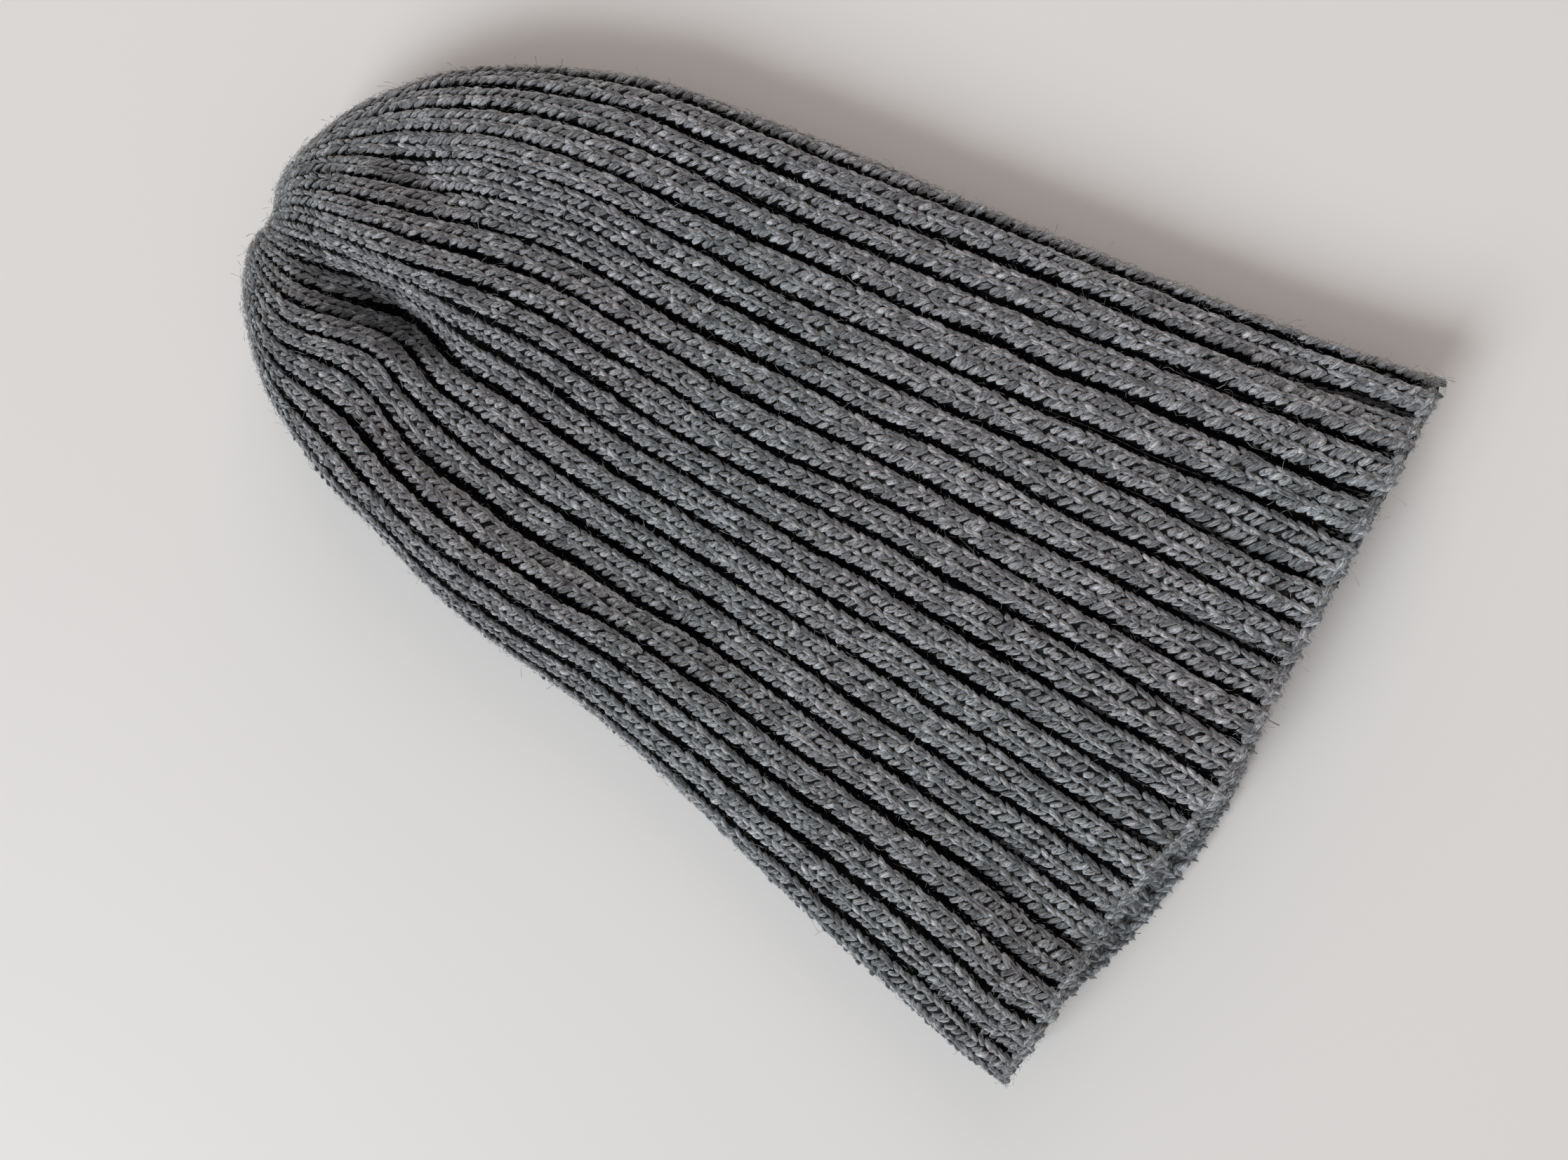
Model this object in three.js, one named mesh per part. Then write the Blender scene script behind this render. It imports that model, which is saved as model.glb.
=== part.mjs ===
// A fisherman beanie in two-by-two rib, lying flattened on a table.
// Millimetres, +Z up, +Y from the head opening to the crown.
// It is knitted in the round in one piece, so the whole hat is one hollow shell.

import * as THREE from 'three'

// Driving sizes
const RIBS_PER_QUARTER = 10
const WALL = 3.8
const GROOVE = 2.0
const INSIDE_GROOVE = 0.9
const SHOULDER_DROP = 0.3
const HEM_ROUND = 1.4
const HEM_REACH = 60
const HEM_BLEND = 4
const GATHERED_ROWS = 2.5

// Points round one rib, as shares of its width, and how far each sinks below the crest.
const RIB_POINTS = [
  { share: 0.0, sink: GROOVE },
  { share: 0.2, sink: SHOULDER_DROP },
  { share: 0.5, sink: 0 },
  { share: 0.8, sink: SHOULDER_DROP },
]
const INSIDE_POINTS = [
  { share: 0.0, sink: 0 },
  { share: 0.5, sink: -INSIDE_GROOVE },
]

// One row for each section from the hem to the point where the ribs are gathered.
// y is the distance along the hat, left and right are the reach of the two side folds
// from the crown's axis, seam is where the middle groove of the top layer runs, top is the
// height of the upper layer, low is the underside before the table presses it flat, and
// boxy is how full the corners of the section are, from 2 for an ellipse to 4 for a squared one.
// leftPull and rightPull are how strongly the ribs are drawn towards each side fold.
const SECTIONS = [
  { y: 7, left: 108.5, right: 93.8, seam: 1, top: 19.5, low: -0.8, boxy: 3.6, leftPull: -2.4, rightPull: 5.5 },
  { y: 25, left: 106.4, right: 91.6, seam: 1, top: 19, low: -0.8, boxy: 3.6, leftPull: -2.4, rightPull: 5.5 },
  { y: 45, left: 102.2, right: 89.4, seam: 1.5, top: 18.5, low: -0.8, boxy: 3.6, leftPull: -2.6, rightPull: 5 },
  { y: 70, left: 96.4, right: 87.3, seam: 1.6, top: 18, low: -0.8, boxy: 3.6, leftPull: -2, rightPull: 4.4 },
  { y: 97, left: 89, right: 85, seam: 1.9, top: 18, low: -0.8, boxy: 3.6, leftPull: 0.2, rightPull: 3.2 },
  { y: 126, left: 80.8, right: 82.8, seam: 1.6, top: 18, low: -0.8, boxy: 3.5, leftPull: 1.6, rightPull: 2 },
  { y: 155, left: 74.2, right: 80.8, seam: 1.5, top: 18.5, low: -0.8, boxy: 3.4, leftPull: 3, rightPull: 1 },
  { y: 183, left: 70.6, right: 78, seam: 3.6, top: 20, low: -0.8, boxy: 3.2, leftPull: 5, rightPull: 1.2 },
  { y: 205, left: 65.8, right: 75.2, seam: 5.5, top: 22, low: -0.8, boxy: 3, leftPull: 7, rightPull: 1.6 },
  { y: 224, left: 58.8, right: 69.2, seam: 4.6, top: 24, low: -0.8, boxy: 2.8, leftPull: 7, rightPull: 2.6 },
  { y: 239.5, left: 53.8, right: 62.6, seam: 3.6, top: 25.5, low: -0.8, boxy: 2.7, leftPull: 7, rightPull: 3.5 },
  { y: 253, left: 47.2, right: 55.2, seam: 2.6, top: 26, low: -0.8, boxy: 2.6, leftPull: 6, rightPull: 3.5 },
  { y: 264.5, left: 40, right: 45.2, seam: 1.6, top: 26, low: -0.6, boxy: 2.5, leftPull: 4.5, rightPull: 2.5 },
  { y: 273.5, left: 31, right: 35.8, seam: 0.8, top: 24.5, low: 0, boxy: 2.4, leftPull: 3, rightPull: 1.5 },
  { y: 280.5, left: 20.6, right: 22.6, seam: 0.4, top: 22, low: 2, boxy: 2.3, leftPull: 1.5, rightPull: 0.5 },
  { y: 283.4, left: 10.6, right: 11, seam: 0.2, top: 18, low: 6.5, boxy: 2.1, leftPull: 0.5, rightPull: 0 },
  { y: 278, left: 0, right: 0, seam: 0, top: 12, low: 12, boxy: 2, leftPull: 0, rightPull: 0 },
]

// Sections that the shell is built through, counted in rows of the table above.
const STATIONS = [
  0, 0.5, 1, 1.5, 2, 3, 4, 5, 6, 7, 8, 9, 10, 11, 12, 12.7, 13.3, 14, 14.7, 15.4,
]

// How far the hem of each layer stands from the middle of the first section, across the hat.
const HEM = [
  { x: -108, upper: 5.4, under: 4.5 },
  { x: -90, upper: 6.0, under: 2.5 },
  { x: -65, upper: 7.0, under: -4.2 },
  { x: -40, upper: 4.5, under: -7.5 },
  { x: -15, upper: 0.0, under: -8.0 },
  { x: 20, upper: 0.8, under: -2.5 },
  { x: 55, upper: 2.0, under: 1.0 },
  { x: 94, upper: 3.4, under: 4.0 },
]

// The notch between the two lobes of the gathered crown.
const NOTCH = { x: 3, wide: 7, deep: 3.2, from: 262, to: 282 }

// Dents of the upper layer: the middle, half the length and width, the depth,
// and how many degrees the long side leans from the hat's own length.
// A negative depth is a swelling. Dents run out at the side folds and where the hat is thin.
const DENT_EDGE = 1.6
const DENT_RISE = 10
const DENTS = [
  { name: 'crown valley', x: -4.5, y: 246, long: 32, wide: 8.5, deep: 9.5, lean: -9 },
  { name: 'crown dimple', x: 27.5, y: 246, long: 15, wide: 8, deep: 4.5, lean: 0 },
  { name: 'shoulder trough', x: 24, y: 206, long: 24, wide: 8, deep: 2.6, lean: 7 },
  { name: 'left shoulder', x: -34, y: 228, long: 22, wide: 8, deep: 4.0, lean: 3 },
  { name: 'left flank', x: -47, y: 155, long: 48, wide: 10, deep: 2.4, lean: -4 },
  { name: 'left hem trough', x: -66, y: 34, long: 34, wide: 12, deep: 4.0, lean: 12 },
  { name: 'right hem trough', x: 82, y: 42, long: 34, wide: 5, deep: 3.0, lean: 0 },
  { name: 'hem dent right', x: 46, y: 28, long: 15, wide: 9, deep: 2.4, lean: 0 },
  { name: 'hem dent middle', x: 16, y: 25, long: 15, wide: 8, deep: 2.4, lean: 0 },
  { name: 'hem dent left', x: -24, y: 24, long: 16, wide: 9, deep: 2.6, lean: 0 },
  { name: 'crown swelling', x: 45, y: 222, long: 24, wide: 14, deep: -2.0, lean: 0 },
  { name: 'valley bank', x: 10, y: 247, long: 22, wide: 8, deep: -2.0, lean: -6 },
  { name: 'left bank', x: -22, y: 262, long: 16, wide: 9, deep: -1.5, lean: 8 },
]

// A smooth curve through one column of a table, at a place counted in rows.
function alongRows(rows, column, at) {
  const last = rows.length - 1
  const step = Math.min(Math.max(Math.floor(at), 0), last - 1)
  const part = at - step
  const value = (row) => rows[Math.min(Math.max(row, 0), last)][column]
  const [before, from, to, after] = [value(step - 1), value(step), value(step + 1), value(step + 2)]
  const slope = (to - before) / 2
  const nextSlope = (after - from) / 2
  const bend = 3 * (to - from) - 2 * slope - nextSlope
  const twist = 2 * (from - to) + slope + nextSlope
  return from + part * (slope + part * (bend + part * twist))
}

// The hem's offset for a layer at a place across the hat.
function hemOffset(x, layer) {
  const last = HEM.length - 1
  const clamped = Math.min(Math.max(x, HEM[0].x), HEM[last].x)
  let row = 0
  while (row < last - 1 && HEM[row + 1].x < clamped) row += 1
  const part = (clamped - HEM[row].x) / (HEM[row + 1].x - HEM[row].x)
  return alongRows(HEM, layer, row + part)
}

// How far the notch draws the crown back at a place on the hat.
function notchDepth(x, y) {
  const across = Math.exp(-(((x - NOTCH.x) / NOTCH.wide) ** 2))
  return NOTCH.deep * across * THREE.MathUtils.smoothstep(y, NOTCH.from, NOTCH.to)
}

// How far the upper layer sinks at a place on the hat.
function dentDepth(x, y) {
  let depth = 0
  for (const dent of DENTS) {
    const lean = THREE.MathUtils.degToRad(dent.lean)
    const along = (y - dent.y) * Math.cos(lean) - (x - dent.x) * Math.sin(lean)
    const across = (x - dent.x) * Math.cos(lean) + (y - dent.y) * Math.sin(lean)
    depth += dent.deep * Math.exp(-((along / dent.long) ** 2) - (across / dent.wide) ** 2)
  }
  return depth
}

// Which way a profile column faces at a section: its share outwards and its share towards the crown.
function facing(at, reach) {
  const step = 0.05
  const from = Math.max(at - step, 0)
  const to = Math.min(at + step, SECTIONS.length - 1)
  const run = alongRows(SECTIONS, 'y', to) - alongRows(SECTIONS, 'y', from)
  const drop = reach(from) - reach(to)
  const length = Math.hypot(run, drop) || 1
  return { outwards: run / length, crownwards: drop / length }
}

// The sizes of the hat's section at a place along it, moved inwards by a share of the wall.
function sectionAt(at, inset) {
  const column = (name) => (place) => alongRows(SECTIONS, name, place)
  const half = (place) => (column('left')(place) + column('right')(place)) / 2
  const rise = (place) => (column('top')(place) - column('low')(place)) / 2
  const side = facing(at, half)
  const lid = facing(at, rise)
  const sideInset = inset * side.outwards
  const lidInset = inset * Math.max(lid.outwards, 0)
  const keep = (size) => Math.max(size, 0)
  const top = column('top')(at)
  const low = column('low')(at)
  return {
    y: column('y')(at) - inset * side.crownwards,
    left: keep(column('left')(at) - sideInset),
    right: keep(column('right')(at) - sideInset),
    seam: column('seam')(at),
    middle: (top + low) / 2,
    rise: keep((top - low) / 2 - lidInset),
    floor: lidInset,
    boxy: column('boxy')(at),
    leftPull: column('leftPull')(at),
    rightPull: column('rightPull')(at),
  }
}

// A point of the section's outline: turn runs from -90 degrees at the left fold to 90 at the right one.
function outlinePoint(section, turn, upper) {
  const share = Math.sin(turn)
  const x = share * (share > 0 ? section.right : section.left)
  const bulge = Math.max(1 - Math.abs(share) ** section.boxy, 0) ** (1 / section.boxy)
  if (upper) {
    const kept = Math.min(1, DENT_EDGE * bulge) * Math.min(1, section.rise / DENT_RISE)
    const sunk = dentDepth(x, section.y) * kept
    return new THREE.Vector2(x, section.middle + section.rise * bulge - sunk)
  }
  return new THREE.Vector2(x, Math.max(section.middle - section.rise * bulge, section.floor))
}

// Where a place counted from the side fold lies along a quarter, once the ribs are drawn to the fold.
function pulled(share, pull) {
  return share - (pull / RIBS_PER_QUARTER) * share * (1 - share) ** 3
}

// Places along one quarter of a section, a rib at a time, with the inward direction.
function quarterPlaces(section, quarter, points) {
  const upper = quarter < 2
  const fromFold = quarter % 2 === 0
  const pull = quarter === 0 || quarter === 3 ? section.rightPull : section.leftPull
  const seamTurn = Math.asin(Math.min(Math.max(section.seam / Math.max(section.right, 1), -1), 1))
  const fold = Math.PI / 2
  const ends = [
    [fold, seamTurn],
    [seamTurn, -fold],
    [-fold, seamTurn],
    [seamTurn, fold],
  ][quarter]
  const samples = 240
  const line = []
  const run = [0]
  for (let i = 0; i <= samples; i += 1) {
    line.push(outlinePoint(section, ends[0] + ((ends[1] - ends[0]) * i) / samples, upper))
    if (i > 0) run.push(run[i - 1] + line[i].distanceTo(line[i - 1]))
  }
  const places = []
  let i = 0
  for (let rib = 0; rib < RIBS_PER_QUARTER; rib += 1) {
    for (const point of points) {
      const share = (rib + point.share) / RIBS_PER_QUARTER
      const wanted = run[samples] * (fromFold ? pulled(share, pull) : 1 - pulled(1 - share, pull))
      while (i < samples - 1 && run[i + 1] < wanted) i += 1
      const part = (wanted - run[i]) / Math.max(run[i + 1] - run[i], 1e-6)
      const spot = line[i].clone().lerp(line[i + 1], part)
      const tangent = line[Math.min(i + 2, samples)].clone().sub(line[Math.max(i - 1, 0)]).normalize()
      places.push({ spot, inward: new THREE.Vector2(-tangent.y, tangent.x), upper, sink: point.sink })
    }
  }
  return places
}

// One closed ring of the shell.
function ring(at, inset, points, hemRound) {
  const section = sectionAt(at, inset)
  const fade = Math.min(1, (SECTIONS.length - 1 - at) / GATHERED_ROWS)
  const hemFade = Math.max(0, 1 - (section.y - SECTIONS[0].y) / HEM_REACH) ** 2
  const vertices = []
  for (const quarter of [0, 1, 2, 3]) {
    for (const place of quarterPlaces(section, quarter, points)) {
      const pressed = !place.upper && place.spot.y <= section.floor && place.sink < GROOVE
      const sink = (pressed ? Math.min(place.sink, 0) : place.sink) * fade
      const x = place.spot.x + place.inward.x * sink
      const z = place.spot.y + place.inward.y * sink
      const tilt = THREE.MathUtils.smoothstep(place.spot.y - section.middle, -HEM_BLEND, HEM_BLEND)
      const hem = THREE.MathUtils.lerp(hemOffset(x, 'under'), hemOffset(x, 'upper'), tilt)
      const y = section.y + hem * hemFade + hemRound - notchDepth(x, section.y)
      vertices.push(new THREE.Vector3(x, y, z))
    }
  }
  return vertices
}

// The shell: outer rings from the hem to the gather, inner rings back to the hem, and the hem's edge.
function knitShell() {
  const positions = []
  const indices = []
  const addRing = (vertices) => {
    const first = positions.length / 3
    for (const v of vertices) positions.push(v.x, v.y, v.z)
    return { first, count: vertices.length }
  }
  const triangle = (flip, a, b, c) => (flip ? indices.push(a, c, b) : indices.push(a, b, c))
  const band = (from, to, flip) => {
    for (let i = 0; i < from.count; i += 1) {
      const next = (i + 1) % from.count
      triangle(flip, from.first + i, to.first + i, from.first + next)
      triangle(flip, from.first + next, to.first + i, to.first + next)
    }
  }
  const halvingBand = (fine, coarse, flip) => {
    for (let i = 0; i < coarse.count; i += 1) {
      const next = (i + 1) % coarse.count
      const [a, b, c] = [2 * i, 2 * i + 1, (2 * i + 2) % fine.count].map((n) => fine.first + n)
      triangle(flip, a, coarse.first + i, b)
      triangle(flip, b, coarse.first + i, coarse.first + next)
      triangle(flip, b, coarse.first + next, c)
    }
  }
  const cap = (last, pole, flip) => {
    for (let i = 0; i < last.count; i += 1) {
      triangle(flip, last.first + i, pole.first, last.first + ((i + 1) % last.count))
    }
  }

  const pole = (inset) => {
    const section = sectionAt(SECTIONS.length - 1, inset)
    return addRing([new THREE.Vector3(0, section.y - notchDepth(0, section.y), section.middle)])
  }
  const outer = STATIONS.map((at, i) => addRing(ring(at, 0, RIB_POINTS, i === 0 ? HEM_ROUND : 0)))
  const inner = STATIONS.map((at, i) => addRing(ring(at, WALL, INSIDE_POINTS, i === 0 ? HEM_ROUND : 0)))
  const hem = addRing(ring(0, WALL / 2, INSIDE_POINTS.map((p) => ({ ...p, sink: 0 })), 0))

  outer.slice(1).forEach((to, i) => band(outer[i], to, false))
  inner.slice(1).forEach((to, i) => band(inner[i], to, true))
  cap(outer[outer.length - 1], pole(0), false)
  cap(inner[inner.length - 1], pole(WALL), true)
  halvingBand(outer[0], hem, true)
  band(hem, inner[0], true)

  const geometry = new THREE.BufferGeometry()
  geometry.setAttribute('position', new THREE.Float32BufferAttribute(positions, 3))
  geometry.setIndex(indices)
  return geometry
}

// Heathered grey wool
const wool = new THREE.MeshStandardMaterial({ color: 0x5b5e62, roughness: 0.95, metalness: 0 })

const shellGeometry = knitShell()
shellGeometry.computeBoundingBox()
const middle = shellGeometry.boundingBox.getCenter(new THREE.Vector3())
const knit_shell = new THREE.Mesh(shellGeometry, wool)
knit_shell.name = 'knit_shell'
knit_shell.position.set(-middle.x, -middle.y, -shellGeometry.boundingBox.min.z)

const beanie = new THREE.Group()
beanie.name = 'fisherman_beanie'
beanie.add(knit_shell)

export default beanie
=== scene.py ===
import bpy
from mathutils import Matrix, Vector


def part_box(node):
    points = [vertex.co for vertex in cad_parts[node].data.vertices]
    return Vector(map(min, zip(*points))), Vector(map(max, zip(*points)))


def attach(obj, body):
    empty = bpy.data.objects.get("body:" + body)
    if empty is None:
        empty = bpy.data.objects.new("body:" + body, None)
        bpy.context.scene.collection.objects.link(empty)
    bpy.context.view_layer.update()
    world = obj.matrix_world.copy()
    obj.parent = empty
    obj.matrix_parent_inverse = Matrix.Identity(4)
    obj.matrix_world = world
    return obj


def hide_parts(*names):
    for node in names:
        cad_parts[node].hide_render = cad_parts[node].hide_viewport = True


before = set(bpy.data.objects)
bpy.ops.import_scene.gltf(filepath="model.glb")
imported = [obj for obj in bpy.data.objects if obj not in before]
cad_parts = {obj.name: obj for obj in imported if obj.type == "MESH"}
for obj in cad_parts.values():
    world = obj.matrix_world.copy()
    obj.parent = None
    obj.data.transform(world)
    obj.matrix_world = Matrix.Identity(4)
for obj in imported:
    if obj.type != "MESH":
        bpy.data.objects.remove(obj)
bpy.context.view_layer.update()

import functools
import math

import bpy
import numpy as np
from mathutils import Matrix, Vector
from mathutils.bvhtree import BVHTree

bl_info = {
    "name": "Ribbed beanie",
    "version": (1, 0, 0),
    "blender": (4, 5, 0),
    "location": "View3D > Sidebar > Beanie",
    "description": "Knits a two-by-two rib beanie round the packed hat shell",
    "category": "Object",
}

BODY = "root"
NODE = "knit_shell"
MM = 0.001

# The hat's form
# Sizes in millimetres, in the hat's own axes: x across the crown's axis, y from the opening, z up.

RIBS = 40
RIBS_PER_QUARTER = 10
# The wall from crest to crest, and how much further in its inner face is laid.
WALL = 3.8
INSIDE_PROUD = 0.6
# How far the inner face's ribs are turned against the outer ones, in ribs.
INSIDE_PHASE = 0.5
# How far the rim is drawn back where it rounds, how far up the hat the hem's course is felt, and half the
# height over which the two layers' hems pass into each other.
HEM_ROUND = 1.4
HEM_REACH = 60
HEM_BLEND = 4

# One row for each section from the hem to the gather.
SECTION_COLUMNS = ("y", "left", "right", "seam", "top", "low", "boxy", "left_pull", "right_pull")
SECTIONS = (
    (7, 108.5, 93.8, 1, 19.5, -0.8, 3.6, -2.4, 5.5),
    (25, 106.4, 91.6, 1, 19, -0.8, 3.6, -2.4, 5.5),
    (45, 102.2, 89.4, 1.5, 18.5, -0.8, 3.6, -2.6, 5),
    (70, 96.4, 87.3, 1.6, 18, -0.8, 3.6, -2, 4.4),
    (97, 89, 85, 1.9, 18, -0.8, 3.6, 0.2, 3.2),
    (126, 80.8, 82.8, 1.6, 18, -0.8, 3.5, 1.6, 2),
    (155, 74.2, 80.8, 1.5, 18.5, -0.8, 3.4, 3, 1),
    (183, 70.6, 78, 3.6, 20, -0.8, 3.2, 5, 1.2),
    (205, 65.8, 75.2, 5.5, 22, -0.8, 3, 7, 1.6),
    (224, 58.8, 69.2, 4.6, 24, -0.8, 2.8, 7, 2.6),
    (239.5, 53.8, 62.6, 3.6, 25.5, -0.8, 2.7, 7, 3.5),
    (253, 47.2, 55.2, 2.6, 26, -0.8, 2.6, 6, 3.5),
    (264.5, 40, 45.2, 1.6, 26, -0.6, 2.5, 4.5, 2.5),
    (273.5, 31, 35.8, 0.8, 24.5, 0, 2.4, 3, 1.5),
    (280.5, 20.6, 22.6, 0.4, 22, 2, 2.3, 1.5, 0.5),
    (283.4, 10.6, 11, 0.2, 18, 6.5, 2.1, 0.5, 0),
    (278, 0, 0, 0, 12, 12, 2, 0, 0),
)
LAST_SECTION = 15.6
# How far apart, in sections, the places lie that a section's slope is read from.
SLOPE_STEP = 0.05
# Places that each quarter of an outline is measured at.
OUTLINE_PLACES = 240

# How far the hem of each layer stands from the first section, across the hat.
HEM_COLUMNS = ("x", "upper", "under")
HEM = (
    (-108, 5.4, 4.5),
    (-90, 5, 2.5),
    (-65, 4.6, -4.2),
    (-40, 2, -7.5),
    (-15, -2, -8),
    (20, 0.2, -2.5),
    (55, 2, 1),
    (94, 3.4, 4),
)

# How soon dents are whole off the side folds, and how far the hat has to rise for them to be so.
DENT_EDGE = 1.6
DENT_RISE = 5
# Dents of the upper layer, and swells below 0: the deepest place, half the length, how far the left and
# the right bank reach, the depth and the lean in degrees.
DENTS = (
    # x, y, long, left, right, deep, lean
    (-4, 245, 19, 7, 7, 11.0, -4),
    (-7, 240, 13, 4, 4, 4.0, -2),
    (-6, 204, 26, 7, 8, 2.2, 0),
    (30, 248, 12, 6.5, 8, 4.6, 0),
    (28, 200, 28, 8, 12, 3.6, 3),
    (-28, 225, 26, 10, 26, 5.0, -9),
    (-37, 152, 50, 10.5, 30, 5.0, -5),
    (-53, 168, 66, 11, 9, -2.4, -7),
    (-58, 30, 26, 10.5, 28, 5.8, -10),
    (-80, 32, 28, 11, 9, -1.5, -8),
    (83, 80, 70, 7, 9, -1.2, 2),
    (74, 170, 50, 7, 9, -1.2, 6),
    (82, 42, 34, 5, 5, 3.0, 0),
    (46, 28, 15, 9, 9, 2.4, 0),
    (16, 25, 15, 8, 8, 2.4, 0),
    (-24, 24, 16, 9, 9, 2.6, 0),
    (45, 222, 24, 14, 14, -2.4, 0),
    (10, 247, 22, 8, 8, -3.0, -6),
    (-22, 262, 16, 9, 9, -1.5, 8),
)
# The inner face's banks are at least this wide, so that the wall keeps its thickness.
INNER_BANK = 8

# The notch between the two lobes of the crown, and where along the hat it begins and is full.
NOTCH_X, NOTCH_WIDE, NOTCH_DEEP, NOTCH_FROM, NOTCH_TO = 3, 7, 3.2, 262, 282


def smoothstep(value, low, high):
    """A smooth rise from 0 at low to 1 at high."""
    part = np.clip((value - low) / (high - low), 0, 1)
    return part * part * (3 - 2 * part)


def along_rows(table, columns, name, places):
    """A smooth curve through one column of a table, at places counted in rows."""
    values = np.array(table, float)[:, columns.index(name)]
    last = len(values) - 1
    step = np.clip(np.floor(places).astype(int), 0, last - 1)
    part = places - step
    before, start, end, after = (values[np.clip(step + k, 0, last)] for k in (-1, 0, 1, 2))
    slope = (end - before) / 2
    next_slope = (after - start) / 2
    bend = 3 * (end - start) - 2 * slope - next_slope
    twist = 2 * (start - end) + slope + next_slope
    return start + part * (slope + part * (bend + part * twist))


def hem_offset(x, layer):
    """The hem's offset for a layer at places across the hat."""
    places = np.interp(x, [row[0] for row in HEM], np.arange(len(HEM)))
    return along_rows(HEM, HEM_COLUMNS, layer, places)


def notch_depth(x, y):
    """How far the notch draws the crown back."""
    return NOTCH_DEEP * np.exp(-(((x - NOTCH_X) / NOTCH_WIDE) ** 2)) * smoothstep(y, NOTCH_FROM, NOTCH_TO)


def spots(table, x, y, least=0.0):
    """The sum of a table's soft spots, with sides at least so wide."""
    height = np.zeros_like(x)
    for middle_x, middle_y, long, left, right, high, lean in table:
        cosine, sine = math.cos(math.radians(lean)), math.sin(math.radians(lean))
        along = (y - middle_y) * cosine - (x - middle_x) * sine
        across = (x - middle_x) * cosine + (y - middle_y) * sine
        wide = np.where(across < 0, max(left, least), max(right, least))
        height += high * np.exp(-((along / long) ** 2) - (across / wide) ** 2)
    return height


def section_sizes(at):
    """The sizes of the hat's sections at stations along it."""
    return {name: along_rows(SECTIONS, SECTION_COLUMNS, name, at) for name in SECTION_COLUMNS}


def section_at(at, inset):
    """The same sizes as columns, moved inwards by a share of the wall."""
    size = section_sizes(at)
    if inset:
        ends = (np.clip(at + step, 0, len(SECTIONS) - 1) for step in (-SLOPE_STEP, SLOPE_STEP))
        near, far = map(section_sizes, ends)
        run = far["y"] - near["y"]
        side_drop = (near["left"] + near["right"] - far["left"] - far["right"]) / 2
        lid_drop = (near["top"] - near["low"] - far["top"] + far["low"]) / 2
        side = np.hypot(run, side_drop)
        lid = np.hypot(run, lid_drop)
        side_inset = inset * run / side
        lid_inset = inset * np.maximum(run / lid, 0)
        size["y"] = size["y"] - inset * side_drop / side
    else:
        side_inset = lid_inset = np.zeros_like(at)
    size["middle"] = (size["top"] + size["low"]) / 2
    size["rise"] = np.maximum((size["top"] - size["low"]) / 2 - lid_inset, 0)
    size["left"] = np.maximum(size["left"] - side_inset, 0)
    size["right"] = np.maximum(size["right"] - side_inset, 0)
    size["floor"] = lid_inset
    return {name: value[:, None] for name, value in size.items()}


def outline_points(size, turn, upper, bank):
    """Points of the sections' outlines, in x and z, for turns from the left fold to the right one."""
    share = np.sin(turn)
    x = share * np.where(share > 0, size["right"], size["left"])
    bulge = np.maximum(1 - np.abs(share) ** size["boxy"], 0) ** (1 / size["boxy"])
    if not upper:
        return x, np.maximum(size["middle"] - size["rise"] * bulge, size["floor"])
    kept = np.minimum(1, DENT_EDGE * bulge) * np.minimum(1, size["rise"] / DENT_RISE)
    return x, size["middle"] + size["rise"] * bulge - spots(DENTS, x, size["y"] + 0 * x, bank) * kept


def smooth_grid(at, per_rib, inset):
    """Places of the hat's smooth surface: one row of points round the hat for each station."""
    size = section_at(at, inset)
    fold = math.pi / 2
    seam = np.arcsin(np.clip(size["seam"] / np.maximum(size["right"], 1), -1, 1))
    left_fold, right_fold = np.full_like(seam, -fold), np.full_like(seam, fold)
    quarters = (
        (right_fold, seam, True, "right_pull"),
        (seam, left_fold, True, "left_pull"),
        (left_fold, seam, False, "left_pull"),
        (seam, right_fold, False, "right_pull"),
    )
    share = np.arange(RIBS_PER_QUARTER * per_rib) / (RIBS_PER_QUARTER * per_rib)
    found_x, found_z = [], []
    for quarter, (start, end, upper, pull_name) in enumerate(quarters):
        turn = start + (end - start) * np.linspace(0, 1, OUTLINE_PLACES + 1)
        x, z = outline_points(size, turn, upper, INNER_BANK if inset else 0)
        run = np.cumsum(np.hypot(np.diff(x), np.diff(z)), axis=1)
        run = np.concatenate([np.zeros((len(at), 1)), run], axis=1)
        pull = size[pull_name] / RIBS_PER_QUARTER
        if quarter % 2 == 0:
            wanted = share - pull * share * (1 - share) ** 3
        else:
            wanted = share + pull * (1 - share) * share**3
        wanted = wanted * run[:, -1:]
        for found, values in ((found_x, x), (found_z, z)):
            found.append(np.array([np.interp(w, r, v) for w, r, v in zip(wanted, run, values)]))
    x, z = np.concatenate(found_x, axis=1), np.concatenate(found_z, axis=1)
    fade = np.maximum(0, 1 - (size["y"] - SECTIONS[0][0]) / HEM_REACH) ** 2
    tilt = smoothstep(z - size["middle"], -HEM_BLEND, HEM_BLEND)
    hem = hem_offset(x, "under") * (1 - tilt) + hem_offset(x, "upper") * tilt
    y = size["y"] + hem * fade - notch_depth(x, size["y"])
    return np.stack([x, y, z], axis=2)


def unit(vectors):
    """Vectors made one long."""
    return vectors / np.maximum(np.linalg.norm(vectors, axis=-1, keepdims=True), 1e-9)


def row_stations(row_height):
    """Stations of the knit rows, an even distance apart on the mean of the ribs."""
    at = np.linspace(0, LAST_SECTION, MEASURED)
    ribs = smooth_grid(at, 1, 0)
    steps = np.linalg.norm(np.diff(ribs, axis=0), axis=2).mean(axis=1)
    run = np.concatenate([[0], np.cumsum(steps)])
    rows = int(round(run[-1] / row_height))
    return np.interp(np.linspace(0, run[-1], rows * SUB_ROWS + 1), run, at), rows


# The ribs

# The grid of a face: its steps to each knit row and to each rib, and the stations that the rows are
# measured out from.
SUB_ROWS = 3
PER_RIB = 24
MEASURED = 1200
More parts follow.
